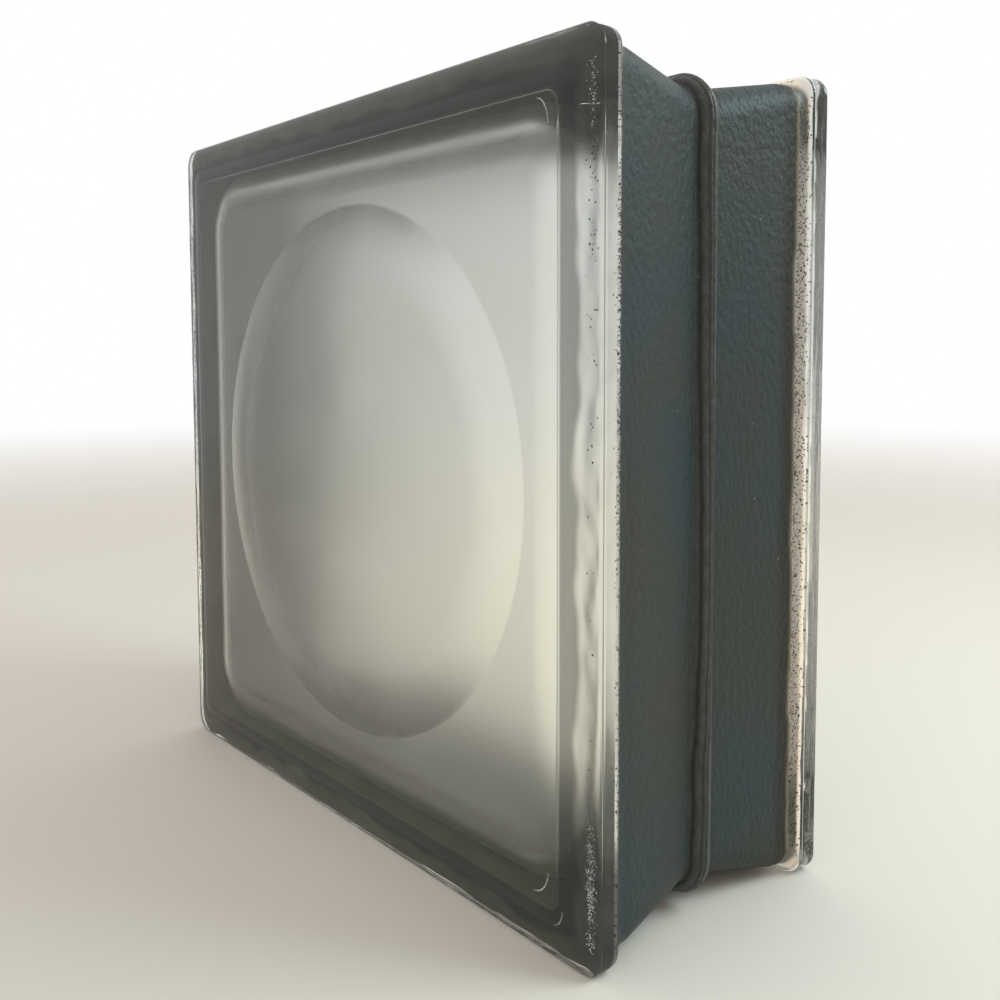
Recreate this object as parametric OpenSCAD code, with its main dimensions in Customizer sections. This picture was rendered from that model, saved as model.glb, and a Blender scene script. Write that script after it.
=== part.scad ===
// Hollow glass block for building walls, standing on one edge as it is laid.
// Two pressed glass halves are fused rim to rim: the squeezed-out glass leaves
// a bead round the waist. The channel between the two flanges carries a dark
// coating that the mortar grips, and the inside of each face has a round dish.
// X runs along the face, Y through the block, Z up. The origin is the centre
// of the edge that the block stands on, and the front face looks along -Y.

/* [Block] */
// Width of the face
block_w = 197; // [150:1:300]
// Height of the face
block_h = 197; // [150:1:300]
// Depth through the block, from face to face
block_d = 79; // [70:1:120]

/* [Flange] */
// Thickness of the flange at its rim, from the face plane to the channel
flange_t = 7.4; // [6:0.1:10]
// Corner radius of the block's outline
flange_corner_r = 5; // [4:0.5:8]
// Rounding of the rim on the channel side
flange_edge_r = 0.8; // [0.4:0.1:1.5]

/* [Face] */
// Thickness of the face between its two flat surfaces
face_t = 8; // [6:0.5:12]
// Width of the border round the raised panel
border_w = 11.5; // [9:0.5:14]
// Width of the border's outer band, which rolls over to the rim
roll_w = 7.5; // [4:0.5:8]
// Distance of the mould's parting line behind the face plane
parting_drop = 1.8; // [1.5:0.1:4]
// Height of the panel above the outer band
panel_raise = 0.6; // [0.4:0.1:1.2]
// Height of the small lip at the panel's edge
panel_lip = 0.2; // [0.1:0.05:0.3]
// Rounding of the lip, measured across the face
panel_edge_w = 0.4; // [0.2:0.1:1.5]
// Corner radius of the panel
panel_corner_r = 4; // [3:0.5:8]

/* [Dish inside each face] */
// Width of the flat ring left between the dish and the cavity's fillet
dish_land = 3; // [2:0.5:15]
// Depth of the dish into the glass
dish_depth = 3.4; // [0.5:0.1:4]
// Width of the sloping ring between the dish's edge and its flat middle
dish_slope_w = 18; // [8:1:26]

/* [Channel] */
// Depth of the channel beside the flanges
shoulder_depth = 2.3; // [1.8:0.1:4]
// Depth of the channel at the foot of the bead
waist_depth = 6.1; // [4.5:0.1:8]
// Length of the hollow fillet between channel and flange, through the block
cove_len = 5.5; // [3:0.5:8]
// Corner radius of the channel beside the flanges
shoulder_corner_r = 6; // [4:0.5:10]
// Corner radius of the channel at the foot of the bead
waist_corner_r = 8; // [6:0.5:12]

/* [Seam bead] */
// Height of the bead above the channel
bead_h = 3.1; // [1:0.1:4]
// Width of the bead over both halves
bead_w = 6.4; // [4:0.2:10]

/* [Cavity] */
// Wall thickness at the seam, behind the foot of the bead
rim_wall_t = 4; // [3:0.5:9]
// Narrowing of the cavity on each side, from the seam to the face
cavity_draft = 0.5; // [0.3:0.1:5]
// Fillet between the cavity's wall and the face
cavity_fillet_r = 13; // [6:0.5:16]
// Corner radius of the cavity
cavity_corner_r = 18; // [17:0.5:24]

/* [Coating] */
// Thickness of the coating on the channel
coat_t = 0.3; // [0.2:0.05:0.8]

/* [Hidden] */

// Points on each rounded corner, and steps on each kind of curve
corner_points = 12;
bead_steps = 4;
cove_steps = 5;
edge_steps = 3;
roll_steps = 7;
bevel_steps = 3;
panel_steps = 3;
dish_steps = 5;
fillet_steps = 5;

half_d = block_d / 2;
channel_end = half_d - flange_t;
shoulder_at = channel_end - cove_len;
parting_at = half_d - parting_drop;
border_top = half_d - panel_raise;
lip_foot = half_d - panel_lip;
inner_face = half_d - face_t;
cavity_inset = waist_depth + rim_wall_t;
cavity_root_inset = cavity_inset + cavity_draft;
bead_foot = bead_w / 2;
dish_r = min(block_w, block_h) / 2 - cavity_root_inset - cavity_fillet_r - dish_land;

// A section of the loft is [half width, half height, corner radius, depth].
// Depth is the distance from the seam plane towards the face.

// Section that lies a given inset inside the block's outline
function frame_ring(inset, corner_r, depth) =
    [block_w / 2 - inset, block_h / 2 - inset, corner_r, depth];

// Round section, centred on the face
function disc_ring(radius, depth) = [radius, radius, radius, depth];

// Value part of the way between two others
function between(a, b, share) = a + (b - a) * share;

// Outline of one section, corner by corner. The points stand half a step in
// from the ends of each arc, on the radius that keeps the sides where they are.
function ring_points(ring) = [
    for (corner = [0 : 3], i = [0 : corner_points - 1])
        let (
            turn = 90 * (i + 1 / 2) / corner_points,
            angle = 90 * corner + turn,
            reach = ring[2] / cos(45 / corner_points),
            side_x = (corner == 0 || corner == 3) ? 1 : -1,
            side_y = corner < 2 ? 1 : -1
        )
        [
            side_x * (ring[0] - ring[2]) + reach * cos(angle),
            side_y * (ring[1] - ring[2]) + reach * sin(angle),
            ring[3]
        ]
];

// Skin through a row of sections. It is closed by a cap at each end, or, as a
// hoop, by a last band that runs back to the first section.
module loft(rings, hoop = false) {
    count = len(rings);
    sides = 4 * corner_points;
    points = [for (ring = rings) each ring_points(ring)];
    bands = [
        for (k = [0 : count - (hoop ? 1 : 2)], j = [0 : sides - 1])
            let (
                here = sides * k,
                there = sides * ((k + 1) % count),
                next = (j + 1) % sides
            )
            [here + j, there + j, there + next, here + next]
    ];
    first_cap = [for (j = [0 : sides - 1]) j];
    last_cap = [for (j = [0 : sides - 1]) sides * count - 1 - j];
    polyhedron(points, hoop ? bands : concat([first_cap], bands, [last_cap]));
}

// Inside of the face: the dish from its flat middle out to its edge. The
// slope is steepest at the edge and runs out flat.
function dish_rings() = [
    for (i = [0 : dish_steps])
        let (share = i / dish_steps)
        disc_ring(
            dish_r - dish_slope_w * (1 - share),
            inner_face + dish_depth * (1 - share * share)
        )
];

// Inside of the cavity: the fillet from the face to the wall, then the wall,
// which opens towards the seam
function cavity_rings() = concat(
    [
        for (i = [0 : fillet_steps])
            let (
                turn = 90 * i / fillet_steps,
                in_from_wall = cavity_fillet_r * (1 - sin(turn))
            )
            frame_ring(
                cavity_root_inset + in_from_wall,
                cavity_corner_r - in_from_wall,
                inner_face - cavity_fillet_r * (1 - cos(turn))
            )
    ],
    [frame_ring(cavity_inset, cavity_corner_r, 0)]
);

// Bead from its crest at the seam to its foot, an arch of cosine form. A lift
// draws the same surface that far outside the glass.
function bead_rings(lift = 0) = [
    for (i = [0 : bead_steps])
        let (
            turn = 90 * i / bead_steps,
            height = bead_h * cos(turn)
        )
        frame_ring(
            waist_depth - height - lift,
            waist_corner_r + height + lift,
            bead_foot * turn / 90
        )
];

// Channel where it meets the fillet of the flange
function shoulder_ring(lift = 0) =
    frame_ring(shoulder_depth - lift, shoulder_corner_r + lift, shoulder_at);

// Hollow fillet from the channel up to the flange's rim
function cove_rings() = [
    for (i = [1 : cove_steps])
        let (turn = 90 * i / cove_steps)
        frame_ring(
            between(flange_edge_r, shoulder_depth, cos(turn)),
            between(flange_corner_r - flange_edge_r, shoulder_corner_r, cos(turn)),
            shoulder_at + cove_len * sin(turn)
        )
];

// Rounded edge of the rim on the channel side
function rim_edge_rings() = [
    for (i = [1 : edge_steps])
        let (
            turn = 90 * i / edge_steps,
            inset = flange_edge_r * (1 - sin(turn))
        )
        frame_ring(
            inset,
            flange_corner_r - inset,
            channel_end + flange_edge_r * (1 - cos(turn))
        )
];

// Outer band of the border, which rolls from the parting line up to the crease
// at the foot of the bevel
function roll_rings() = [
    for (i = [0 : roll_steps])
        let (
            turn = 90 * i / roll_steps,
            share = 1 - cos(turn)
        )
        frame_ring(
            roll_w * share,
            between(flange_corner_r, panel_corner_r, share),
            between(parting_at, border_top, sin(turn))
        )
];

// Bevel from the crease up to the panel's lip, steepest at the crease and
// nearly flat at the panel
function bevel_rings() = [
    for (i = [1 : bevel_steps])
        let (share = i / bevel_steps)
        frame_ring(
            between(roll_w, border_w, share),
            panel_corner_r,
            between(border_top, lip_foot, share * (2 - share))
        )
];

// Rounded lip at the edge of the raised panel
function panel_rings() = [
    for (i = [1 : panel_steps])
        let (
            turn = 90 * i / panel_steps,
            inset = panel_edge_w * (1 - cos(turn))
        )
        frame_ring(
            border_w + inset,
            panel_corner_r - inset,
            between(lip_foot, half_d, sin(turn))
        )
];

// One pressed half, from the middle of the dish, over the rim, to the panel
module pressed_half() {
    loft(concat(
        dish_rings(),
        cavity_rings(),
        bead_rings(),
        [shoulder_ring()],
        cove_rings(),
        rim_edge_rings(),
        roll_rings(),
        bevel_rings(),
        panel_rings()
    ));
}

// The same section on the far side of the seam
function far_side(ring) = [ring[0], ring[1], ring[2], -ring[3]];

// Channel surface from one shoulder to the other, over the bead
function channel_rings(lift) =
    let (
        near = concat(bead_rings(lift), [shoulder_ring(lift)]),
        last = len(near) - 1
    )
    concat(
        [for (i = [0 : last]) far_side(near[last - i])],
        [for (i = [1 : last]) near[i]]
    );

function backwards(rings) = [for (i = [len(rings) - 1 : -1 : 0]) rings[i]];

// Stands the seam plane upright on the block's lower edge
module stand_upright(turn = 0) {
    translate([0, 0, block_h / 2])
        rotate([90, 0, turn])
            children();
}

module front_half() {
    color([0.42, 0.45, 0.43, 0.75])
        stand_upright()
            pressed_half();
}

module back_half() {
    color([0.42, 0.45, 0.43, 0.75])
        stand_upright(180)
            pressed_half();
}

module side_coating() {
    color([0.23, 0.25, 0.25])
        stand_upright()
            loft(concat(channel_rings(0), backwards(channel_rings(coat_t))), hoop = true);
}

front_half();
back_half();
side_coating();
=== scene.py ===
"""Studio scene of a hollow glass block with satin faces, a beaded seam and coated sides.

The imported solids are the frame. The two pressed halves are drawn again as one fused
piece of glass, an outer skin and a cavity, and the coating as a sprayed band that lies
in the channel. Lengths are in metres, in the frame's own axes: X along the face,
Y through the block, Z up. Depth is the distance from the seam plane towards the front.
"""
import math

import bpy
import numpy as np
from mathutils import Matrix, Vector


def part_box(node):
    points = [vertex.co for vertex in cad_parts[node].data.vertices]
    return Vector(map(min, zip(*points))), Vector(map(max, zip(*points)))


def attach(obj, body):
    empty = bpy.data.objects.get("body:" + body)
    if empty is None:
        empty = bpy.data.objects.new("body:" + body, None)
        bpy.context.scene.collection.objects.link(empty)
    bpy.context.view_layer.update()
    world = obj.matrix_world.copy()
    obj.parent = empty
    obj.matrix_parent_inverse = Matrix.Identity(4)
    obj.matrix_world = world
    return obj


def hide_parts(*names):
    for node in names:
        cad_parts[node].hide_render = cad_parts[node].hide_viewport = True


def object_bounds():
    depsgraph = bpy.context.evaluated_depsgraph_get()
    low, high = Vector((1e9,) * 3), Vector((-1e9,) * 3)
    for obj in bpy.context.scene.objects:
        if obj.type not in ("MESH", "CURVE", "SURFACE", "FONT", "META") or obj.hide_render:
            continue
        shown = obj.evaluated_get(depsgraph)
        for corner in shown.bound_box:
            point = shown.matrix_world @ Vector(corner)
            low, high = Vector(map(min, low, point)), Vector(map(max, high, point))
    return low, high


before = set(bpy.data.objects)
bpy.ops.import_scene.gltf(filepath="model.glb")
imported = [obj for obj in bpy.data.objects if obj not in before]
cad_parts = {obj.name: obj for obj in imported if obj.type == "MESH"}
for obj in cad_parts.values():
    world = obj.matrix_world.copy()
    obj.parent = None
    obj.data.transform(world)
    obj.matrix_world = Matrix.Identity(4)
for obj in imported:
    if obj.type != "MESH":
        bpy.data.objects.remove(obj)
CAD_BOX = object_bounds()

# Sizes that the frame gives
MM = 0.001
BLOCK_LOW, BLOCK_HIGH = (np.array(corner) for corner in CAD_BOX)
HALF_W, HALF_D, HALF_H = (BLOCK_HIGH - BLOCK_LOW) / 2
MID_Z = (BLOCK_LOW[2] + BLOCK_HIGH[2]) / 2
SHOULDER_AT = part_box("side_coating")[1][1]

# Rims and faces
FLANGE_T = 7.4 * MM
FLANGE_CORNER_R = 5 * MM
RIM_EDGE_R = 0.8 * MM
FACE_T = 8 * MM
BORDER_W = 11.5 * MM
ROLL_W = 7.5 * MM
PARTING_DROP = 1.8 * MM
PANEL_RAISE = 0.6 * MM
PANEL_LIP = 0.2 * MM
PANEL_EDGE_W = 0.4 * MM
PANEL_CORNER_R = 4 * MM
FIN_H = 0.16 * MM
FIN_W = 0.3 * MM
FIN_GROOVE_W = 0.9 * MM

# Channel and bead
SHOULDER_DEPTH = 2.3 * MM
WAIST_DEPTH = 6.1 * MM
SHOULDER_CORNER_R = 6 * MM
WAIST_CORNER_R = 8 * MM
BEAD_H = 3.1 * MM
BEAD_FOOT = 3.2 * MM

# Cavity and dish
RIM_WALL_T = 4 * MM
CAVITY_DRAFT = 0.5 * MM
CAVITY_FILLET_R = 13 * MM
CAVITY_CORNER_R = 18 * MM
DISH_LAND = 3 * MM
DISH_DEPTH = 3.4 * MM
DISH_SLOPE_W = 18 * MM

# Coating: how far it laps over the front rim's edge, and what share of the back cove it covers
COAT_T = 0.3 * MM
COAT_SINK = 0.15 * MM
COAT_FADE_W = 6.0 * MM
FRONT_LAP = 0.35 * MM
BACK_LAP = 0.36
COARSE_WANDER = 0.3 * MM
FINE_WANDER = 0.25 * MM
FRONT_SWAY, BACK_SWAY = 0.3, 0.4
END_ROUNDING = 0.02

# Wedge of coating in the seam
SEAM_SINK = 6.9 * MM
SEAM_W = 0.5 * MM

# Lines along the bead: place and width, as shares of its half width, and height
BEAD_RELIEF = 0.14 * MM
BEAD_SPAN = 1.2
COARSE_SWAY, FINE_SWAY = 0.09, 0.03
GROOVES = [(0.83, 0.1, 1), (0.4, 0.06, 0.7), (0.16, 0.05, 0.6), (-0.5, 0.08, 0.6), (-0.85, 0.1, 1)]
RIDGES = [(0.27, 0.05, 1), (0.05, 0.05, 1), (-0.3, 0.07, 0.6)]

# Rub marks on the front panel: middle and reach of a quarter of an ellipse, and width, in mm
SCUFFS = [
    ((80.4, 178.1), (3.7, 6.1), 0.5),
    ((79.4, 19.5), (4.9, -5.8), 0.5),
    ((86.2, 12.4), (2.3, -3.8), 0.35),
]
SCUFF_H = 0.03 * MM

# Slope of the strip's face towards the front, which stands for its rounding
STRIP_LEAN = 0.35

# Ripples of the rims
WAVE_H = 0.035 * MM
WAVE_LEN = 5 * MM
STRIP_WAVE = 0.6

# Grey tint of painted shade from the bevel outwards: sway of its edge in mm, strength of its grey
# haze patches and of the painted shade on the rims that the block stands on, and sizes of its patches
SHADE_SWAY = 0.7
HAZE = 0.08
FOOT_SHADE = 0.5
FOOT_TOP = (4 * MM, 14 * MM)
SHADE_PATCH = 16 * MM
HAZE_PATCH = 7 * MM

# Places on the rims, in mm over the surface from the panel's edge: starts and ends of bands
STRIP_START = 11.5
ROLL_RIPPLES = (5, 7, 10.4, 11.2)
STRIP_RIPPLES = (12.9, 13.4, 15.4, 15.9)
SHADE_START = (0, 0.5)
SHADE_END = (4.4, 6.9)
HAZE_BAND = (4.5, 7, 15.5, 16.5)
FOOT_BAND = (4.5, 8, 16, 16.6)
LEAN_BAND = (11.5, 12, 15.8, 16.3)
COVE_START = (16.8, 18)
CREST = 9.3
CREST_BAND = (6.5, 11.2)
STRIP_EDGE = 16.95
STRIP_BAND = (12, 16.6)
DUST_START = 16.8
DUST_END = 21.3

# Specks: points round each, spread of their distances from its middle, height, and for each
# kind of overspray the number, the usual distance in mm from the coating and the sizes in mm
SPECK_POINTS = 6
SPECK_RAGGED = (0.5, 1.2)
SPECK_H = 0.03 * MM
EDGE_TRIES, EDGE_REACH, EDGE_SIZES = 3400, 0.42, (0.1, 0.3)
STRIP_COUNT, STRIP_SIZES = 260, (0.08, 0.2)
DUST_COUNT, DUST_REACH, DUST_SIZES = 6500, 1.6, (0.12, 0.3)

# Shares of the block's height: where the edge's specks are dense, and where the wear changes.
# The wear lies in groups, where two waves up the block meet
EDGE_DENSE = (0.42, 0.55, 0.82, 0.9)
EDGE_THIN = 0.25
WEAR_SHARES = (0, 0.1, 0.16, 0.74, 0.82, 1)
WEAR_WAVES = (63, 29)

# Upright sides of the block, by their number among its sides
LEFT, RIGHT = 1, 3

# Satin: share of it that the cavity's walls have, height in the fillet where it starts to
# grow and span in which it does so, and its patches
FILLET_SATIN = 0.8
SATIN_LOW, SATIN_SPAN = 0.3, 0.6
SATIN_SWAY = 0.04
SATIN_PATCH = 30 * MM

# Rim place of everything that is not on the rim
OFF_RIM = -20 * MM

# Places along the half, counted from the seam
CHANNEL_END = HALF_D - FLANGE_T
COVE_LEN = CHANNEL_END - SHOULDER_AT
PARTING_AT = HALF_D - PARTING_DROP
BORDER_TOP = HALF_D - PANEL_RAISE
LIP_FOOT = HALF_D - PANEL_LIP
INNER_FACE = HALF_D - FACE_T
CAVITY_INSET = WAIST_DEPTH + RIM_WALL_T
CAVITY_ROOT_INSET = CAVITY_INSET + CAVITY_DRAFT
LAND_INSET = CAVITY_ROOT_INSET + CAVITY_FILLET_R
DISH_R = min(HALF_W, HALF_H) - LAND_INSET - DISH_LAND

# The photograph's camera, in a frame of IMAGE_SIDE pixels
IMAGE_SIDE = 1000
FOCAL_PX = 1070.2
CENTRE_PX = (499.8, 416.2)
CAMERA_PLACE = (0.2503, -0.1895, 0.1340)
CAMERA_AZIMUTH = 50.51
CAMERA_ELEVATION = 4.05
CAMERA_ROLL = -0.14
SENSOR_MM = 36
NEAR_CLIP = 0.01

# Colours
WHITE = (1, 1, 1, 1)
CLEAR_GLASS = (0.958, 0.979, 0.938, 1)
# Grey of the painted shade tint on the glass
SHADE_GREY = (0.15, 0.155, 0.147, 1)
COVE_BEIGE = (0.98, 0.82, 0.66, 1)
COAT_OLIVE = (0.034, 0.037, 0.028, 1)
COAT_BLUE = (0.026, 0.039, 0.041, 1)
BEAD_DARK = (0.03, 0.029, 0.022, 1)
BEAD_PALE = (0.1, 0.105, 0.09, 1)
# Dark of the painted shade in the grooves beside the bead
GROOVE_SHADE = (0.012, 0.011, 0.008, 1)
THIN_BROWN = (0.02, 0.017, 0.011, 1)
END_BROWN = (0.2, 0.16, 0.11, 1)
LINT_PALE = (0.26, 0.27, 0.24, 1)
HIDDEN_DARK = (0.13, 0.14, 0.115, 1)
HIDDEN_PALE = (0.17, 0.18, 0.145, 1)
SCUFF_WHITES = ((0.3, 0.31, 0.29, 1), (0.62, 0.63, 0.6, 1))
SPRAY_BROWNS = ((0.03, 0.02, 0.012, 1), (0.1, 0.07, 0.045, 1))
PIT_GREYS = ((0.02, 0.022, 0.02, 1), (0.09, 0.095, 0.085, 1))
CHIP_WHITES = ((0.5, 0.52, 0.5, 1), (0.85, 0.87, 0.85, 1))
FLOOR_COLOUR = (0.72, 0.66, 0.575, 1)

# Finishes
GLASS_IOR = 1.52
SATIN_ROUGH = 0.46
COVE_ROUGH = 0.4
COAT_ROUGH = 0.5
BEAD_POLISH = 0.16
COAT_GLOSS = 0.28
HIDDEN_ROUGH = 0.6
MATT_ROUGH = 0.7

# Grain of the coating and of the specks, in cells to the metre
CLOUD_GRAIN = 26
MOTTLE_GRAIN = 420
LINT_GRAIN = 140
PEEL_GRAIN = 520
SPRAY_GRAIN = 600
WEAR_GRAIN = 900

# Clouds, bead, thin edge, its very end, lint and orange peel of the coating, and the patches
# of its hidden side
CLOUD_RANGE = (0.3, 0.7)
BEAD_SHARE = 0.8
THIN_RANGE = (0.05, 0.75)
END_RANGE = (0.8, 1.0)
LINT_RANGE = (0.012, 0.03)
PEEL_STRETCH = (1, 1.5, 1)
PEEL_H = 0.42 * MM
HIDDEN_PATCH = 20 * MM
HIDDEN_RANGE = (-1.5, 1.5)

# Light of the surround: where it only lights, and, as glass and glosses show it, at the
# horizon and in front, with the directions between which it changes
SURROUND_LIGHT = 0.86
HORIZON_LIGHT = 0.78
FRONT_LIGHT = 0.95
UPPER_SKY = (0.1, 0.75)
FRONT_SKY = (-0.6, 0.25)

# Light of the floor as glass shows it, in the open and close under the rims
FLOOR_GLOW = 1.4
UNDER_GLOW = 0.2
CONTACT_W = 5 * MM

# Floor: rings of its mesh, points on each, and where it fades to white
FLOOR_RINGS = (0.4, 0.9, 1.6, 3.0)
FLOOR_POINTS = 96
FLOOR_FADE = (0.45, 1.6)


# Surfaces on grids

class Round:
    """Stations once round a rounded rectangle.

    Each station has the signs that place its corner's centre and the direction of the
    corner's radius. On a corner the direction turns through a quarter; along a side the
    centre slides to the next corner while the direction stays square to the side.
    """

    def __init__(self, corner_steps, side_steps):
        self.corner_steps, self.side_steps = corner_steps, side_steps
        quarter = np.linspace(0, 1, corner_steps + 1)
        slide = np.linspace(0, 1, side_steps + 1)[1:-1]
        signs = np.array([(1, 1), (-1, 1), (-1, -1), (1, -1)], float)
        turn, centre = [], []
        for k in range(4):
            turn += [90 * (k + quarter), np.full(len(slide), 90.0 * (k + 1))]
            here, there = signs[k], signs[(k + 1) % 4]
            centre += [np.tile(here, (len(quarter), 1)), here + slide[:, None] * (there - here)]
        angle = np.radians(np.concatenate(turn))
        self.cos, self.sin = np.cos(angle), np.sin(angle)
        self.side_x, self.side_z = np.concatenate(centre).T
        self.count = len(angle)

    def on_side(self, side, share):
        """Station at a share of a side's length. The sides are top, left, bottom and right,
        and run on from the corner at the upper right."""
        first = side * (self.corner_steps + self.side_steps) + self.corner_steps
        return first + share * self.side_steps

    def wrap(self, inset, corner, depth, scale=1.0):
        """Points of frames that lie an inset inside the block's outline: the corner's centre
        plus its radius along each station's direction. Scale shrinks a frame to its middle."""
        values = [np.asarray(v, float) for v in (inset, corner, depth, scale)]
        inset, corner, depth, scale = (v[:, None] if v.ndim == 1 else v for v in values)
        x = self.side_x * (HALF_W - inset - corner) + self.cos * corner
        z = self.side_z * (HALF_H - inset - corner) + self.sin * corner
        x, z, depth = np.broadcast_arrays(x * scale, z * scale, depth)
        return np.stack([x, -depth, z + MID_Z], axis=-1)


RIM_STATIONS = Round(12, 96)


def mirror_rows(rows):
    """The same rows on the far half, from the seam outwards: depth changes its sign."""
    return rows[::-1] * np.array([1, -1, 1])


def skin_faces(rows, count, first, flip=False):
    """Quads between neighbouring rows of a tube of count points a row."""
    k, j = np.meshgrid(np.arange(rows - 1), np.arange(count), indexing="ij")
    a = first + k * count + j
    b = first + k * count + (j + 1) % count
    quads = np.stack([a, a + count, b + count, b], axis=-1).reshape(-1, 4)
    return quads[:, ::-1] if flip else quads


def cap_faces(pole, first, count, flip=False):
    """Fan of triangles from a pole to a row."""
    j = np.arange(count)
    fan = np.stack([np.full(count, pole), first + j, first + (j + 1) % count], axis=-1)
    return fan[:, ::-1] if flip else fan


def add_mesh(name, points, faces, body="root"):
    """Puts arrays of points and faces into a smooth-shaded mesh that rides on a body."""
    mesh = bpy.data.meshes.new(name)
    mesh.from_pydata(points.tolist(), [], [face for group in faces for face in group.tolist()])
    mesh.polygons.foreach_set("use_smooth", np.ones(len(mesh.polygons), bool))
    mesh.update()
    piece = bpy.data.objects.new(name, mesh)
    bpy.context.scene.collection.objects.link(piece)
    if body:
        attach(piece, body)
    return piece


def add_mask(piece, name, values):
    """Stores one number for each point, which the piece's material reads by name."""
    mask = piece.data.attributes.new(name, "FLOAT", "POINT")
    mask.data.foreach_set("value", np.asarray(values, np.float32))


def closed_skin(rows, flip=False, first=0):
    """Points and faces of a skin that runs from one pole to the other."""
    count = rows.shape[1]
    grid = rows.reshape(-1, 3)
    poles = np.stack([rows[0].mean(axis=0), rows[-1].mean(axis=0)])
    points = np.concatenate([grid, poles])
    last_row = first + (len(rows) - 1) * count
    pole = first + len(grid)
    faces = [
        skin_faces(len(rows), count, first, flip),
        cap_faces(pole, first, count, flip),
        cap_faces(pole + 1, last_row, count, not flip),
    ]
    return points, faces


# Profile of the pressed glass

def steps(count, start=0.0, stop=1.0):
    """Evenly spaced numbers from start to stop."""
    return np.linspace(start, stop, count)


def channel_profile(reach):
    """Inset, corner radius and depth of the channel at a reach from the seam.

    The bead is a cosine arch, the wall tapers straight to the shoulder, the cove is a
    quarter of an ellipse that hollows out to the flange, and the rim's edge a quarter
    of a circle.
    """
    edge_len = RIM_EDGE_R * math.pi / 2
    bump = BEAD_H * np.cos(np.radians(90 * np.clip(reach / BEAD_FOOT, 0, 1)))
    taper = np.clip((reach - BEAD_FOOT) / (SHOULDER_AT - BEAD_FOOT), 0, 1)
    cove = np.radians(90 * np.clip((reach - SHOULDER_AT) / COVE_LEN, 0, 1))
    edge = np.radians(90 * np.clip((reach - CHANNEL_END) / edge_len, 0, 1))
    wall = WAIST_DEPTH + (SHOULDER_DEPTH - WAIST_DEPTH) * taper
    wall_corner = WAIST_CORNER_R + (SHOULDER_CORNER_R - WAIST_CORNER_R) * taper
    hollow = 1 - np.cos(cove)
    inset = wall - bump - (SHOULDER_DEPTH - RIM_EDGE_R) * hollow - RIM_EDGE_R * np.sin(edge)
    corner = (wall_corner + bump + (FLANGE_CORNER_R - RIM_EDGE_R - SHOULDER_CORNER_R) * hollow
              + RIM_EDGE_R * np.sin(edge))
    depth = (np.minimum(reach, SHOULDER_AT) + COVE_LEN * np.sin(cove)
             + RIM_EDGE_R * (1 - np.cos(edge)))
    return inset, corner, depth


def bevel_depth(share):
    """Depth of the bevel at a share of its width from the crease: a parabola, flat at the panel."""
    return BORDER_TOP + (LIP_FOOT - BORDER_TOP) * share * (2 - share)


def outer_half(stations):
    """Rows of the outer skin from the middle of the front panel to the seam.

    Each row also gets its rim place: how far over the surface it lies from the panel's
    edge, counted across the bevel, the roll, the strip, the rim's edge and the cove.
    """
    panel_scale = np.concatenate([steps(8, 0.1, 0.96), [0.985, 0.995]])
    flat = np.full(len(panel_scale), BORDER_W + PANEL_EDGE_W)
    panel = stations.wrap(flat, np.full(len(flat), PANEL_CORNER_R - PANEL_EDGE_W),
                          np.full(len(flat), HALF_D), panel_scale)
    turn = np.radians(steps(6, 90, 0))
    lip = PANEL_EDGE_W * (1 - np.cos(turn))
    panel_edge = stations.wrap(
        BORDER_W + lip, PANEL_CORNER_R - lip, LIP_FOOT + PANEL_LIP * np.sin(turn))
    bevel_share = np.concatenate([[0.985], steps(7, 0.95, 0.05), [0.01, 0]])
    bevel = stations.wrap(
        ROLL_W + (BORDER_W - ROLL_W) * bevel_share,
        np.full(len(bevel_share), PANEL_CORNER_R),
        bevel_depth(bevel_share),
    )
    turn = np.radians(np.concatenate([[89.6, 89], steps(21, 87, 1)]))
    roll_share = 1 - np.cos(turn)
    roll = stations.wrap(
        ROLL_W * roll_share,
        FLANGE_CORNER_R + (PANEL_CORNER_R - FLANGE_CORNER_R) * roll_share,
        PARTING_AT + (BORDER_TOP - PARTING_AT) * np.sin(turn),
    )
    strip_len = PARTING_AT - (CHANNEL_END + RIM_EDGE_R)
    along = np.concatenate([
        steps(11, 0, FIN_W + FIN_GROOVE_W + FIN_W),
        steps(5, 2 * MM, 0.96 * strip_len),
    ])
    fin = FIN_H * np.exp(-((along - FIN_W / 2) / (FIN_W / 2)) ** 2)
    groove = FIN_H * np.sin(np.pi * np.clip((along - FIN_W) / FIN_GROOVE_W, 0, 1)) ** 2
    swell = groove - fin
    strip = stations.wrap(swell, FLANGE_CORNER_R - swell, PARTING_AT - along)
    edge_len = RIM_EDGE_R * math.pi / 2
    reach = np.concatenate([
        CHANNEL_END + edge_len * steps(6, 1, 0),
        SHOULDER_AT + COVE_LEN * steps(9, 0.95, 0),
        steps(6, SHOULDER_AT, BEAD_FOOT)[1:],
        BEAD_FOOT * steps(7, 0.95, 0),
    ])
    channel = stations.wrap(*channel_profile(reach))
    rows = np.concatenate([panel, panel_edge, bevel, roll, strip, channel])
    rim = np.concatenate([
        np.full(len(panel), OFF_RIM),
        -lip,
        (BORDER_W - ROLL_W) * (1 - bevel_share),
        BORDER_W - ROLL_W * roll_share,
        BORDER_W + along,
        BORDER_W + strip_len + CHANNEL_END + edge_len - reach,
    ])
    return rows, rim


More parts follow.
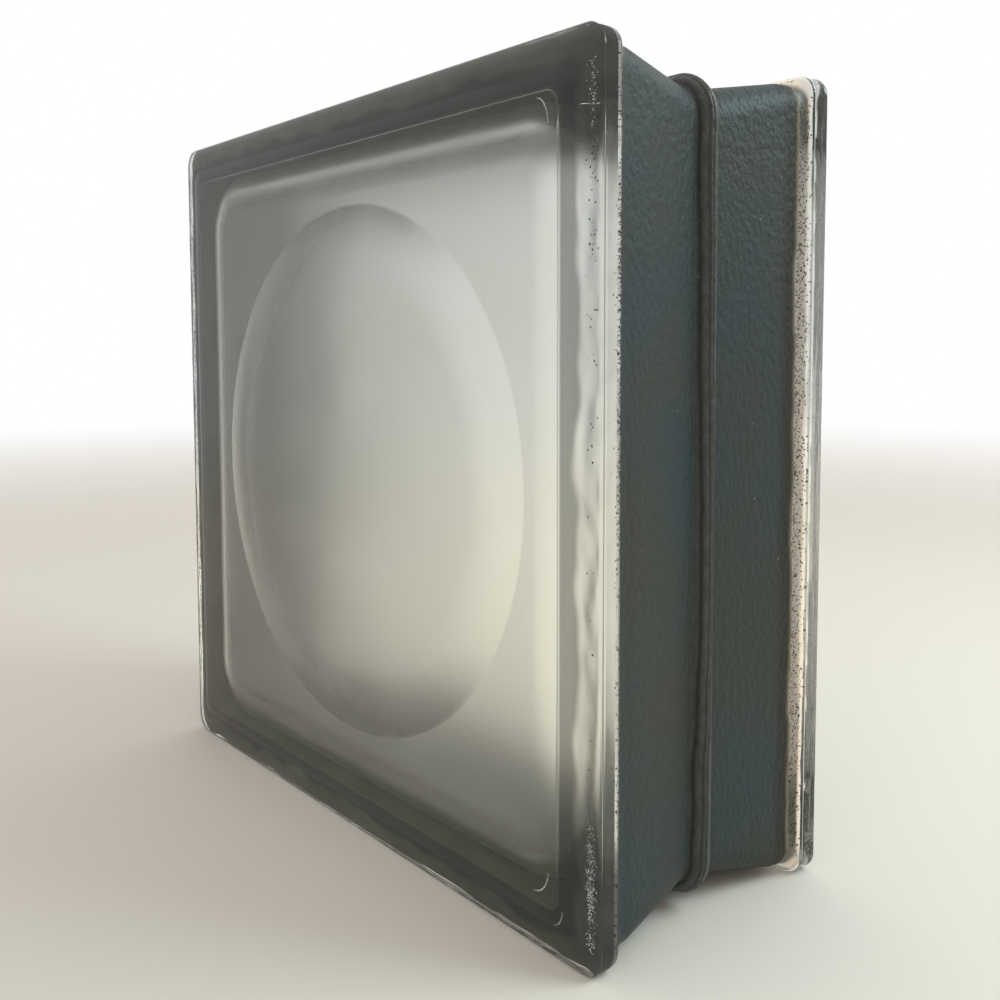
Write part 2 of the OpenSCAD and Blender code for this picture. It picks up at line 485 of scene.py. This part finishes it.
def cavity_half(stations):
    """Rows of the cavity from the middle of the front dish to the seam.

    The dish is round, and its slope is steepest at its edge. The land blends the circle
    into the rounded square of the fillet's foot, along the lines from the middle.
    """
    foot = stations.wrap([LAND_INSET], [CAVITY_CORNER_R - CAVITY_FILLET_R], [INNER_FACE])[0]
    bearing = np.arctan2(foot[:, 2] - MID_Z, foot[:, 0])
    circle = np.stack([np.cos(bearing), np.zeros(len(bearing)), np.sin(bearing)], axis=-1)
    middle = np.array([0, 0, MID_Z])
    flat = (DISH_R - DISH_SLOPE_W) * steps(8, 0.1, 1)
    slope = steps(22, 0, 1)[1:]
    share = np.concatenate([np.zeros(len(flat)), slope])
    radius = np.concatenate([flat, DISH_R - DISH_SLOPE_W * (1 - slope)])
    depth = INNER_FACE + DISH_DEPTH * (1 - share ** 2)
    dish = middle + circle * radius[:, None, None] + np.array([0, -1, 0]) * depth[:, None, None]
    rim = dish[-1]
    land = rim + (foot - rim) * np.array([0.02, 0.1, 0.3, 0.55, 0.8, 0.96])[:, None, None]
    turn = np.radians(steps(12, 0, 90))
    in_from_wall = CAVITY_FILLET_R * (1 - np.sin(turn))
    fillet = stations.wrap(
        CAVITY_ROOT_INSET + in_from_wall,
        CAVITY_CORNER_R - in_from_wall,
        INNER_FACE - CAVITY_FILLET_R * (1 - np.cos(turn)),
    )
    down = steps(12, 0, 1)[1:]
    wall = stations.wrap(
        CAVITY_ROOT_INSET - CAVITY_DRAFT * down,
        np.full(len(down), CAVITY_CORNER_R),
        (INNER_FACE - CAVITY_FILLET_R) * (1 - down),
    )
    return np.concatenate([dish, land, fillet, wall])


def rise(value, low, high):
    """Smooth step from 0 at low to 1 at high."""
    share = np.clip((value - low) / (high - low), 0, 1)
    return share * share * (3 - 2 * share)


def hump(value, start, full, drop, stop):
    """Smooth step up from start to full, and down from drop to stop."""
    return rise(value, start, full) * (1 - rise(value, drop, stop))


def ripples(points, rng, size, count=24):
    """Smooth random field of unit spread: a sum of plane waves, about one size long, that
    run in random directions."""
    way = rng.standard_normal((count, 3))
    length = size * rng.uniform(0.6, 1.6, count)
    way *= (2 * np.pi / (length * np.linalg.norm(way, axis=1)))[:, None]
    phase = rng.uniform(0, 2 * np.pi, count)
    return np.sin(points @ way.T + phase).sum(axis=-1) * math.sqrt(2 / count)


def outer_skin():
    """Rows of the whole outer skin and their rim places in mm. The roll ripples through the
    block and the strip ripples sideways, as fire-polished glass does."""
    near, rim = outer_half(RIM_STATIONS)
    rows = np.concatenate([near, mirror_rows(near)[1:]])
    rim = np.concatenate([rim, rim[-2::-1]]) / MM
    wave = WAVE_H * ripples(rows, np.random.default_rng(3), WAVE_LEN)
    rolled = wave * hump(rim, *ROLL_RIPPLES)[:, None]
    side = STRIP_WAVE * wave * hump(rim, *STRIP_RIPPLES)[:, None]
    rows[..., 0] += side * RIM_STATIONS.cos
    rows[..., 1] += rolled
    rows[..., 2] += side * RIM_STATIONS.sin
    return rows, rim


def fused_glass(rows, rim):
    """Both halves as one piece: an outer skin that faces out and a cavity that faces in.

    It stores where the grey tint of painted shade lies, in soft patches from the bevel outwards
    and, darker towards the bottom, over the rims that it stands on, with grey haze patches on the
    roll and strip. It also stores where the coves are, how the strip leans, and how satin the cavity
    is.
    """
    near = cavity_half(Round(14, 30))
    inner = np.concatenate([near, mirror_rows(near)[1:]])
    skin, outer_faces = closed_skin(rows)
    cavity, inner_faces = closed_skin(inner, flip=True, first=len(skin))
    piece = add_mesh("fused_glass", np.concatenate([skin, cavity]), outer_faces + inner_faces)
    rng = np.random.default_rng(7)
    rim = rim[:, None]
    # Painted shade: a grey tint from the bevel outwards, standing in for the dark coated wall seen
    # through the glass
    shade_edge = rim + SHADE_SWAY * ripples(rows, rng, SHADE_PATCH)
    shade_and_haze = rise(rim, *SHADE_START) * (1 - rise(shade_edge, *SHADE_END))
    haze = HAZE * np.clip(ripples(rows, rng, HAZE_PATCH), 0, 2) * hump(rim, *HAZE_BAND)
    # Painted shade on the rims that the block stands on: the grey tint is darker towards the bottom
    low = 1 - rise(rows[..., 2] - BLOCK_LOW[2], *FOOT_TOP)
    foot = FOOT_SHADE * low * hump(rim, *FOOT_BAND)
    shade_and_haze = np.maximum(np.maximum(shade_and_haze, haze), foot)
    cove = rise(rim, *COVE_START)
    lean = STRIP_LEAN * (rim - STRIP_START) * hump(rim, *LEAN_BAND)
    height = (np.abs(cavity[:, 1]) - INNER_FACE + CAVITY_FILLET_R) / CAVITY_FILLET_R
    satin = FILLET_SATIN + (1 - FILLET_SATIN) * np.clip((height - SATIN_LOW) / SATIN_SPAN, 0, 1)
    satin *= 1 + SATIN_SWAY * ripples(cavity, rng, SATIN_PATCH)
    rest = np.zeros(len(skin) + len(cavity) - rows[..., 0].size)
    for name, values in (("shade_and_haze", shade_and_haze), ("cove", cove), ("lean", lean)):
        values = np.broadcast_to(values, rows.shape[:2]).reshape(-1)
        add_mask(piece, name, np.concatenate([values, rest]))
    add_mask(piece, "satin", np.concatenate([np.zeros(len(skin)), satin]))
    return piece


def specks(name, rows, row, station, size, rng):
    """Flat ragged lenses on a skin, at fractional rows and stations.

    Each is a ring of points at random distances round its middle, between a pole just
    outside the skin and one just inside. The skin's own directions, along its stations and
    across its rows, carry the ring.
    """
    count, ring_size = len(row), SPECK_POINTS
    along = np.roll(rows, -1, axis=1) - np.roll(rows, 1, axis=1)
    across = np.gradient(rows, axis=0)
    k, j = np.floor(row).astype(int), np.floor(station).astype(int) % rows.shape[1]
    after = (j + 1) % rows.shape[1]
    up, on = (row - k)[:, None], (station - np.floor(station))[:, None]
    middle = ((1 - up) * ((1 - on) * rows[k, j] + on * rows[k, after])
              + up * ((1 - on) * rows[k + 1, j] + on * rows[k + 1, after]))
    along, across = along[k, j], across[k, j]
    out = np.cross(across, along)
    along, out = (v / np.linalg.norm(v, axis=1, keepdims=True) for v in (along, out))
    across = np.cross(along, out)
    this = np.arange(ring_size)
    that = (this + 1) % ring_size
    angle = 2 * np.pi * this / ring_size + rng.uniform(0, 1, (count, 1))
    radius = size[:, None] * rng.uniform(*SPECK_RAGGED, (count, ring_size))
    ring = (middle[:, None] + (radius * np.cos(angle))[..., None] * along[:, None]
            + (radius * np.sin(angle))[..., None] * across[:, None])
    poles = middle[:, None] + np.array([1, -1])[:, None] * out[:, None] * SPECK_H
    outer, inner = np.full(ring_size, ring_size), np.full(ring_size, ring_size + 1)
    upper, lower = np.stack([that, this, outer], axis=1), np.stack([this, that, inner], axis=1)
    fan = np.concatenate([upper, lower])
    faces = ((ring_size + 2) * np.arange(count)[:, None, None] + fan).reshape(-1, 3)
    return add_mesh(name, np.concatenate([ring, poles], axis=1).reshape(-1, 3), [faces])


def row_at(rim, place, back=False):
    """Fractional row of a rim place in mm, on the front half or on the back one."""
    half = len(rim) // 2
    row = np.interp(place, rim[:half], np.arange(half))
    return len(rim) - 1 - row if back else row


def upright_stations(share, rng):
    """Stations at shares of the block's height, on its left or right side at random."""
    on_right = rng.integers(0, 2, len(share))
    return RIM_STATIONS.on_side(np.where(on_right, RIGHT, LEFT), np.where(on_right, share, 1 - share))


def any_stations(count, rng):
    """Random stations on all four sides."""
    return RIM_STATIONS.on_side(rng.integers(0, 4, count), rng.uniform(0, 1, count))


def overspray(rows, rim):
    """Brown specks of coating: a ragged line on the front strip's edge at both sides, dense
    in the upper half, a few on the back strip, and dust on the back coves, thicker towards
    the coating."""
    rng = np.random.default_rng(21)
    share = rng.uniform(0, 1, EDGE_TRIES)
    wanted = EDGE_THIN + (1 - EDGE_THIN) * hump(share, *EDGE_DENSE)
    share = share[rng.uniform(0, 1, EDGE_TRIES) < wanted]
    line = upright_stations(share, rng)
    edge = row_at(rim, STRIP_EDGE - rng.exponential(EDGE_REACH, len(share)))
    few = any_stations(STRIP_COUNT, rng)
    strip = row_at(rim, rng.uniform(*STRIP_BAND, STRIP_COUNT), back=True)
    dust = any_stations(DUST_COUNT, rng)
    fallen = DUST_END - rng.exponential(DUST_REACH, DUST_COUNT)
    cove = row_at(rim, np.maximum(fallen, DUST_START), back=True)
    size = MM * np.concatenate([
        rng.uniform(*EDGE_SIZES, len(share)),
        rng.uniform(*STRIP_SIZES, STRIP_COUNT),
        rng.uniform(*DUST_SIZES, DUST_COUNT),
    ])
    row = np.concatenate([edge, strip, cove])
    return specks("overspray", rows, row, np.concatenate([line, few, dust]), size, rng)


def rim_wear(name, rows, rim, count, seed, ends, spread, sizes):
    """Specks of wear along the crest of the front roll, in groups. The ends give how thick
    they lie low, in the middle and high on the two upright sides, and the spread how far
    from the crest. Spread and sizes are in mm."""
    rng = np.random.default_rng(seed)
    share = rng.uniform(0, 1, count)
    wanted = np.interp(share, WEAR_SHARES, np.repeat(ends, 2))
    short, long = WEAR_WAVES
    grouped = 0.55 + 0.45 * np.sin(short * share + rng.uniform(0, 6)) * np.sin(long * share)
    share = share[rng.uniform(0, 1, count) < wanted * grouped]
    station = upright_stations(share, rng)
    row = row_at(rim, np.clip(rng.normal(CREST, spread, len(share)), *CREST_BAND))
    return specks(name, rows, row, station, rng.uniform(*sizes, len(share)) * MM, rng)


def soft_noise(count, rng, size):
    """Random heights round a closed line, smoothed by a Gaussian of that many stations."""
    wave = np.fft.fftfreq(count) * count
    smoothing = np.exp(-2 * (np.pi * wave * size / count) ** 2)
    line = np.real(np.fft.ifft(np.fft.fft(rng.standard_normal(count)) * smoothing))
    return line / line.std()


def sprayed_coating():
    """Band of coating over the channel: the channel's profile moved out by the coat's
    thickness, with ends that wander on the coves. Its under side lies just inside the glass
    and runs down into the seam as a wedge of Gaussian form, as the sealed joint is opaque.
    The faces that lie against the glass get the second material."""
    stations = Round(16, 110)
    rng = np.random.default_rng(11)
    wander = COARSE_WANDER * soft_noise(stations.count, rng, 3)
    wander = wander + FINE_WANDER * soft_noise(stations.count, rng, 1)
    front_end = CHANNEL_END + FRONT_LAP + FRONT_SWAY * wander
    back_end = SHOULDER_AT + BACK_LAP * COVE_LEN + BACK_SWAY * wander[::-1]
    wall = np.concatenate([[1, 0.995, 0.98], steps(8, 0.96, 0.75), steps(6, 0.68, 0.16)])
    bead = BEAD_SPAN * BEAD_FOOT * steps(46, 1, -1)
    reach = np.concatenate([wall[:, None] * front_end,
                            np.broadcast_to(bead[:, None], (len(bead), stations.count)),
                            -wall[::-1, None] * back_end])
    end = np.where(reach > 0, front_end, back_end)
    inset, corner, depth = channel_profile(np.abs(reach))
    depth = depth * np.sign(reach)
    sway = COARSE_SWAY * soft_noise(stations.count, rng, 14)
    sway = sway + FINE_SWAY * soft_noise(stations.count, rng, 3)
    y = depth / BEAD_FOOT + sway * (np.abs(depth) < BEAD_FOOT)

    def lines(shapes):
        """Sum of Gaussian ridges along the bead."""
        return sum(height * np.exp(-((y - place) / width) ** 2) for place, width, height in shapes)

    groove, ridge = lines(GROOVES), lines(RIDGES)
    rounding = np.clip((1 - np.abs(reach) / end) / END_ROUNDING, 0, 1) ** 0.5
    lift = COAT_T * rounding + BEAD_RELIEF * (ridge - groove)
    top = stations.wrap(inset - lift, corner + lift, depth)
    crest = len(wall) + len(bead) // 2
    far_cove = len(reach) - len(wall)
    low = np.unique(np.concatenate([
        np.arange(len(wall)),
        np.arange(len(wall), far_cove, 4),
        [crest - 1, crest],
        np.arange(far_cove, len(reach)),
    ]))
    joint = np.exp(-(depth[low] / SEAM_W) ** 2)
    sink = COAT_SINK + SEAM_SINK * joint
    turn = (corner[low] - sink) * (1 - joint) + CAVITY_CORNER_R * joint
    under = stations.wrap(inset[low] + sink, turn, depth[low])[::-1]
    hoop = np.concatenate([top, under])
    rows, count = hoop.shape[:2]
    faces = skin_faces(rows + 1, count, 0) % (rows * count)
    piece = add_mesh("sprayed_coating", hoop.reshape(-1, 3), [faces])
    rest = np.zeros((len(low), count))
    fade = np.where(reach < 0, np.clip((end - np.abs(reach)) / COAT_FADE_W, 0, 1), 1)
    add_mask(piece, "bead", np.concatenate([np.exp(-(depth / BEAD_FOOT) ** 4), rest]).reshape(-1))
    add_mask(piece, "groove", np.concatenate([groove, rest]).reshape(-1))
    add_mask(piece, "thin", np.concatenate([1 - fade, rest]).reshape(-1))
    patch = ripples(under, rng, HIDDEN_PATCH)
    add_mask(piece, "patch", np.concatenate([np.zeros(fade.shape), patch]).reshape(-1))
    hidden = np.arange(len(faces)) // count >= len(top) - 1
    piece.data.polygons.foreach_set("material_index", hidden.astype(np.int32))
    return piece


def scuff_marks():
    """White rub marks on the front panel: flat ragged ribbons along quarters of ellipses.

    A lens of four points is carried along each path. Its width wanders at random and goes
    to nothing at both ends.
    """
    rng = np.random.default_rng(5)
    turn = np.radians(steps(60, 0, 90))
    points, faces, first = [], [], 0
    for middle, reach, width in SCUFFS:
        x = (middle[0] + reach[0] * np.sin(turn)) * MM
        z = (middle[1] + reach[1] * np.cos(turn)) * MM
        share = np.clip((HALF_W - x - ROLL_W) / (BORDER_W - ROLL_W), 0, 1)
        y = -np.where(share < 1, bevel_depth(share), HALF_D)
        path = np.stack([x, y, z], axis=-1)
        ahead = np.gradient(path, axis=0)
        ahead /= np.linalg.norm(ahead, axis=1, keepdims=True)
        out = np.array([0.0, -1.0, 0.0])
        side = np.cross(ahead, out)
        ragged = rng.uniform(0.25, 1, len(turn)) * np.sin(2 * turn) ** 0.4
        half = side * (0.5 * width * MM * ragged[:, None])
        high = out * SCUFF_H
        rows = np.stack([path + half, path + high, path - half, path - high], axis=1)
        ribbon, ribbon_faces = closed_skin(rows[1:-1], first=first)
        points.append(ribbon)
        faces += ribbon_faces
        first += len(ribbon)
    return add_mesh("scuff_marks", np.concatenate(points), faces)


# Node helpers

def node(tree, kind, settings=None, **inputs):
    """Adds a node. Settings are its own properties, inputs its sockets by name or number:
    a value or a link."""
    made = tree.nodes.new(kind)
    for name, value in (settings or {}).items():
        setattr(made, name, value)
    for name, value in inputs.items():
        socket = made.inputs[int(name[1:]) if name[0] == "_" else name.replace("_", " ")]
        if isinstance(value, bpy.types.NodeSocket):
            tree.links.new(value, socket)
        else:
            socket.default_value = value
    return made


def calc(tree, operation, first, second=0.0):
    """One arithmetic step."""
    made = node(tree, "ShaderNodeMath", {"operation": operation}, _0=first, _1=second)
    return made.outputs[0]


def blend_colour(tree, share, first, second):
    """Mixes two colours by a share."""
    made = node(tree, "ShaderNodeMix", {"data_type": "RGBA"}, _0=share, _6=first, _7=second)
    return made.outputs[2]


def blend_value(tree, share, first, second):
    """Mixes two numbers by a share."""
    made = node(tree, "ShaderNodeMix", {"data_type": "FLOAT"}, _0=share, _2=first, _3=second)
    return made.outputs[0]


def ramp(tree, value, low, high):
    """Rises smoothly from 0 at low to 1 at high."""
    made = node(tree, "ShaderNodeMapRange", {"interpolation_type": "SMOOTHSTEP"},
                Value=value, From_Min=low, From_Max=high)
    return made.outputs[0]


def fall(tree, value, low, high):
    """Falls smoothly from 1 at low to 0 at high."""
    return calc(tree, "SUBTRACT", 1.0, ramp(tree, value, low, high))


def band(tree, value, start, full, drop, stop):
    """Rises from start to full and falls again from drop to stop."""
    return calc(tree, "MULTIPLY", ramp(tree, value, start, full), fall(tree, value, drop, stop))


def noise(tree, place, scale, detail=2):
    """Cloudy noise between 0 and 1, in cells to the metre."""
    return node(tree, "ShaderNodeTexNoise", Vector=place, Scale=scale, Detail=detail).outputs[0]


def new_material(name):
    """Material with a plain shader, its node tree, that shader and the output."""
    material = bpy.data.materials.new(name)
    material.use_nodes = True
    tree = material.node_tree
    tree.nodes.clear()
    shader = tree.nodes.new("ShaderNodeBsdfPrincipled")
    output = tree.nodes.new("ShaderNodeOutputMaterial")
    tree.links.new(shader.outputs[0], output.inputs["Surface"])
    return material, tree, shader, output


def attribute(tree, name):
    """Number that a piece stores at each of its points."""
    return node(tree, "ShaderNodeAttribute", {"attribute_name": name}).outputs["Fac"]


def mad(tree, value, factor, plus):
    """Value times factor plus an offset."""
    made = node(tree, "ShaderNodeMath", {"operation": "MULTIPLY_ADD"}, _0=value, _1=factor, _2=plus)
    return made.outputs[0]


# Materials

def satin_glass():
    """Smoke-grey glass: satin inside the cavity, smooth outside, with a grey tint of painted shade
    from the bevel outwards and beige coves."""
    material, tree, shader, _ = new_material("satin_smoke_glass")
    cove = attribute(tree, "cove")
    # Grey tint over the glass: painted shade from the bevel outwards and on the foot rims, and grey
    # haze patches
    colour = blend_colour(tree, attribute(tree, "shade_and_haze"), CLEAR_GLASS, SHADE_GREY)
    colour = blend_colour(tree, cove, colour, COVE_BEIGE)
    tree.links.new(colour, shader.inputs["Base Color"])
    cove_rough = calc(tree, "MULTIPLY", cove, COVE_ROUGH)
    rough = mad(tree, attribute(tree, "satin"), SATIN_ROUGH, cove_rough)
    tree.links.new(rough, shader.inputs["Roughness"])
    lean = attribute(tree, "lean")
    bump = node(tree, "ShaderNodeBump", Strength=1.0, Distance=1.0 * MM, Height=lean)
    tree.links.new(bump.outputs[0], shader.inputs["Normal"])
    shader.inputs["IOR"].default_value = GLASS_IOR
    shader.inputs["Transmission Weight"].default_value = 1.0
    return material


def grey_coating():
    """Sprayed coating: orange peel drawn out along the channel, blue-grey and olive clouds,
    pale lint, painted shade in the grooves beside the bead and a brown thin edge."""
    material, tree, shader, _ = new_material("grey_coating")
    place = tree.nodes.new("ShaderNodeTexCoord").outputs["Object"]
    bead = attribute(tree, "bead")
    groove = attribute(tree, "groove")
    thin = attribute(tree, "thin")
    cloud = ramp(tree, noise(tree, place, CLOUD_GRAIN, 3), *CLOUD_RANGE)
    mottle = noise(tree, place, MOTTLE_GRAIN)
    colour = blend_colour(tree, cloud, COAT_OLIVE, COAT_BLUE)
    brown = blend_colour(tree, mottle, BEAD_DARK, BEAD_PALE)
    colour = blend_colour(tree, calc(tree, "MULTIPLY", bead, BEAD_SHARE), colour, brown)
    # Painted shade: the grooves beside the bead are coloured dark
    colour = blend_colour(tree, groove, colour, GROOVE_SHADE)
    colour = blend_colour(tree, ramp(tree, thin, *THIN_RANGE), colour, THIN_BROWN)
    colour = blend_colour(tree, ramp(tree, thin, *END_RANGE), colour, END_BROWN)
    cells = node(tree, "ShaderNodeTexVoronoi", Vector=place, Scale=LINT_GRAIN)
    lint = fall(tree, cells.outputs["Distance"], *LINT_RANGE)
    colour = blend_colour(tree, lint, colour, LINT_PALE)
    tree.links.new(colour, shader.inputs["Base Color"])
    tree.links.new(mad(tree, bead, -BEAD_POLISH, COAT_ROUGH), shader.inputs["Roughness"])
    shader.inputs["Specular IOR Level"].default_value = COAT_GLOSS
    drawn = node(tree, "ShaderNodeVectorMath", {"operation": "MULTIPLY"}, _0=place, _1=PEEL_STRETCH)
    peel = noise(tree, drawn.outputs[0], PEEL_GRAIN)
    bump = node(tree, "ShaderNodeBump", Strength=1.0, Distance=PEEL_H, Height=peel)
    tree.links.new(bump.outputs[0], shader.inputs["Normal"])
    return material


def hidden_coating():
    """Side of the coating that lies against the glass: smooth, in soft patches."""
    material, tree, shader, _ = new_material("coating_on_glass")
    patch = ramp(tree, attribute(tree, "patch"), *HIDDEN_RANGE)
    colour = blend_colour(tree, patch, HIDDEN_DARK, HIDDEN_PALE)
    tree.links.new(colour, shader.inputs["Base Color"])
    shader.inputs["Roughness"].default_value = HIDDEN_ROUGH
    shader.inputs["Specular IOR Level"].default_value = 0.0
    return material


def patchy(name, first, second, scale):
    """Dry matt finish, patchy between two colours."""
    material, tree, shader, _ = new_material(name)
    place = tree.nodes.new("ShaderNodeTexCoord").outputs["Object"]
    colour = blend_colour(tree, noise(tree, place, scale), first, second)
    tree.links.new(colour, shader.inputs["Base Color"])
    shader.inputs["Roughness"].default_value = MATT_ROUGH
    return material


# Stage

def seen_ray(tree):
    """1 for a ray that shows the background: from the camera, or after glass or a gloss."""
    path = tree.nodes.new("ShaderNodeLightPath").outputs
    seen = calc(tree, "MAXIMUM", path["Is Camera Ray"], path["Is Transmission Ray"])
    return calc(tree, "MAXIMUM", seen, path["Is Glossy Ray"])


def add_floor():
    """Pale round floor that fades to white far from the block. Through the glass it is
    seen as if lit, apart from the dark under its rims, because lamp light does not pass
    through the block's shadow."""
    radius = np.array(FLOOR_RINGS)
    angle = np.linspace(0, 2 * np.pi, FLOOR_POINTS, endpoint=False)
    circle = np.stack([np.cos(angle), np.sin(angle), np.zeros(len(angle))], axis=-1)
    rows = radius[:, None, None] * circle
    points = np.concatenate([rows.reshape(-1, 3), [[0, 0, 0]]])
    faces = [skin_faces(len(radius), len(angle), 0), cap_faces(len(points) - 1, 0, len(angle))]
    floor = add_mesh("floor", points, faces, body=None)
    material, tree, shader, output = new_material("pale_floor")
    shader.inputs["Base Color"].default_value = FLOOR_COLOUR
    shader.inputs["Roughness"].default_value = MATT_ROUGH
    place = tree.nodes.new("ShaderNodeTexCoord").outputs["Object"]
    reach = node(tree, "ShaderNodeVectorMath", {"operation": "LENGTH"}, _0=place).outputs["Value"]
    far = ramp(tree, reach, *FLOOR_FADE)
    path = tree.nodes.new("ShaderNodeLightPath").outputs
    horizon = blend_value(tree, path["Is Camera Ray"], HORIZON_LIGHT * FRONT_LIGHT, 1.0)
    white = node(tree, "ShaderNodeEmission", Color=WHITE, Strength=horizon)
    fade = node(tree, "ShaderNodeMixShader", _0=calc(tree, "MULTIPLY", far, seen_ray(tree)),
                _1=shader.outputs[0], _2=white.outputs[0])
    parts = node(tree, "ShaderNodeSeparateXYZ", Vector=place).outputs
    x, y = (calc(tree, "ABSOLUTE", parts[axis]) for axis in "XY")
    beside = fall(tree, x, HALF_W, HALF_W + CONTACT_W)
    rims = band(tree, y, CHANNEL_END - CONTACT_W, CHANNEL_END, HALF_D, HALF_D + CONTACT_W)
    under = calc(tree, "MULTIPLY", beside, rims)
    glow = blend_value(tree, far, FLOOR_GLOW, HORIZON_LIGHT)
    lit = node(tree, "ShaderNodeEmission", Color=blend_colour(tree, far, FLOOR_COLOUR, WHITE),
               Strength=blend_value(tree, under, glow, UNDER_GLOW))
    shown = node(tree, "ShaderNodeMixShader", _0=path["Is Transmission Ray"],
                 _1=fade.outputs[0], _2=lit.outputs[0])
    tree.links.new(shown.outputs[0], output.inputs["Surface"])
    floor.data.materials.append(material)


def add_world():
    """Soft white surround: white where the camera sees it, plainer where it only lights.
    In glass and glosses it is dimmer towards the horizon, and a little dimmer in front."""
    world = bpy.data.worlds.new("soft_surround")
    world.use_nodes = True
    tree = world.node_tree
    tree.nodes.clear()
    way = tree.nodes.new("ShaderNodeTexCoord").outputs["Generated"]
    parts = node(tree, "ShaderNodeSeparateXYZ", Vector=way).outputs
    upper = ramp(tree, parts["Z"], *UPPER_SKY)
    front = fall(tree, parts["Y"], *FRONT_SKY)
    height_light = mad(tree, upper, 1 - HORIZON_LIGHT, HORIZON_LIGHT)
    front_light = mad(tree, front, FRONT_LIGHT - 1, 1.0)
    dim = calc(tree, "MULTIPLY", height_light, front_light)
    path = tree.nodes.new("ShaderNodeLightPath").outputs
    glassy = calc(tree, "MAXIMUM", path["Is Transmission Ray"], path["Is Glossy Ray"])
    light = blend_value(tree, glassy, SURROUND_LIGHT, dim)
    strength = blend_value(tree, path["Is Camera Ray"], light, 1.0)
    glow = node(tree, "ShaderNodeBackground", Color=WHITE, Strength=strength)
    output = tree.nodes.new("ShaderNodeOutputWorld")
    tree.links.new(glow.outputs[0], output.inputs["Surface"])
    bpy.context.scene.world = world


def add_lamp(name, place, aim, size, power, colour):
    """Square soft lamp at a place, turned to its aim."""
    data = bpy.data.lights.new(name, "AREA")
    data.size = size
    data.energy = power
    data.color = colour
    lamp = bpy.data.objects.new(name, data)
    lamp.visible_camera = False
    lamp.visible_transmission = False
    lamp.location = place
    lamp.rotation_euler = (Vector(aim) - Vector(place)).to_track_quat("-Z", "Y").to_euler()
    bpy.context.scene.collection.objects.link(lamp)


def add_camera():
    """Camera at the photograph's place. Its axes are right, up and back; the lens and shift
    turn the focal length and centre from pixels into the sensor's width."""
    azimuth, elevation, roll = np.radians([CAMERA_AZIMUTH, CAMERA_ELEVATION, CAMERA_ROLL])
    level = math.cos(elevation)
    back = Vector((math.sin(azimuth) * level, -math.cos(azimuth) * level, math.sin(elevation)))
    right = Vector((0, 0, 1)).cross(back).normalized()
    up = back.cross(right)
    axes = Matrix((right, up, back)).transposed() @ Matrix.Rotation(roll, 3, "Z")
    data = bpy.data.cameras.new("camera")
    data.sensor_width = SENSOR_MM
    data.lens = SENSOR_MM * FOCAL_PX / IMAGE_SIDE
    data.shift_x = (IMAGE_SIDE / 2 - CENTRE_PX[0]) / IMAGE_SIDE
    data.shift_y = (CENTRE_PX[1] - IMAGE_SIDE / 2) / IMAGE_SIDE
    data.clip_start = NEAR_CLIP
    camera = bpy.data.objects.new("camera", data)
    camera.matrix_world = Matrix.Translation(CAMERA_PLACE) @ axes.to_4x4()
    bpy.context.scene.collection.objects.link(camera)
    bpy.context.scene.camera = camera


# The block

rim_rows, rim_places = outer_skin()
glass = fused_glass(rim_rows, rim_places)
glass.data.materials.append(satin_glass())
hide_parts("front_half", "back_half")

coating = sprayed_coating()
coating.data.materials.append(grey_coating())
coating.data.materials.append(hidden_coating())
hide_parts("side_coating")

scuffs = scuff_marks()
scuffs.data.materials.append(patchy("scuff_white", *SCUFF_WHITES, WEAR_GRAIN))

spray = overspray(rim_rows, rim_places)
spray.data.materials.append(patchy("overspray_brown", *SPRAY_BROWNS, SPRAY_GRAIN))

pits = rim_wear("rim_pits", rim_rows, rim_places, count=1100, seed=31,
                ends=(0.2, 0.13, 1.0), spread=0.75, sizes=(0.1, 0.3))
pits.data.materials.append(patchy("pit_grey", *PIT_GREYS, WEAR_GRAIN))

chips = rim_wear("rim_chips", rim_rows, rim_places, count=9000, seed=32,
                 ends=(1.0, 0.005, 0.3), spread=0.55, sizes=(0.07, 0.17))
chips.data.materials.append(patchy("chip_white", *CHIP_WHITES, WEAR_GRAIN))

# Its surroundings

add_floor()
add_world()
add_lamp("key_lamp", place=(0.42, 0.3, 0.5), aim=(0.09, 0, 0.14),
         size=0.3, power=2.4, colour=(0.74, 0.95, 1.0))
add_lamp("back_lamp", place=(-0.2, 1.75, 0.5), aim=(0, 0, 0.1),
         size=0.9, power=2.6, colour=(1, 1, 1))
add_camera()
bpy.context.scene.view_settings.view_transform = "Standard"
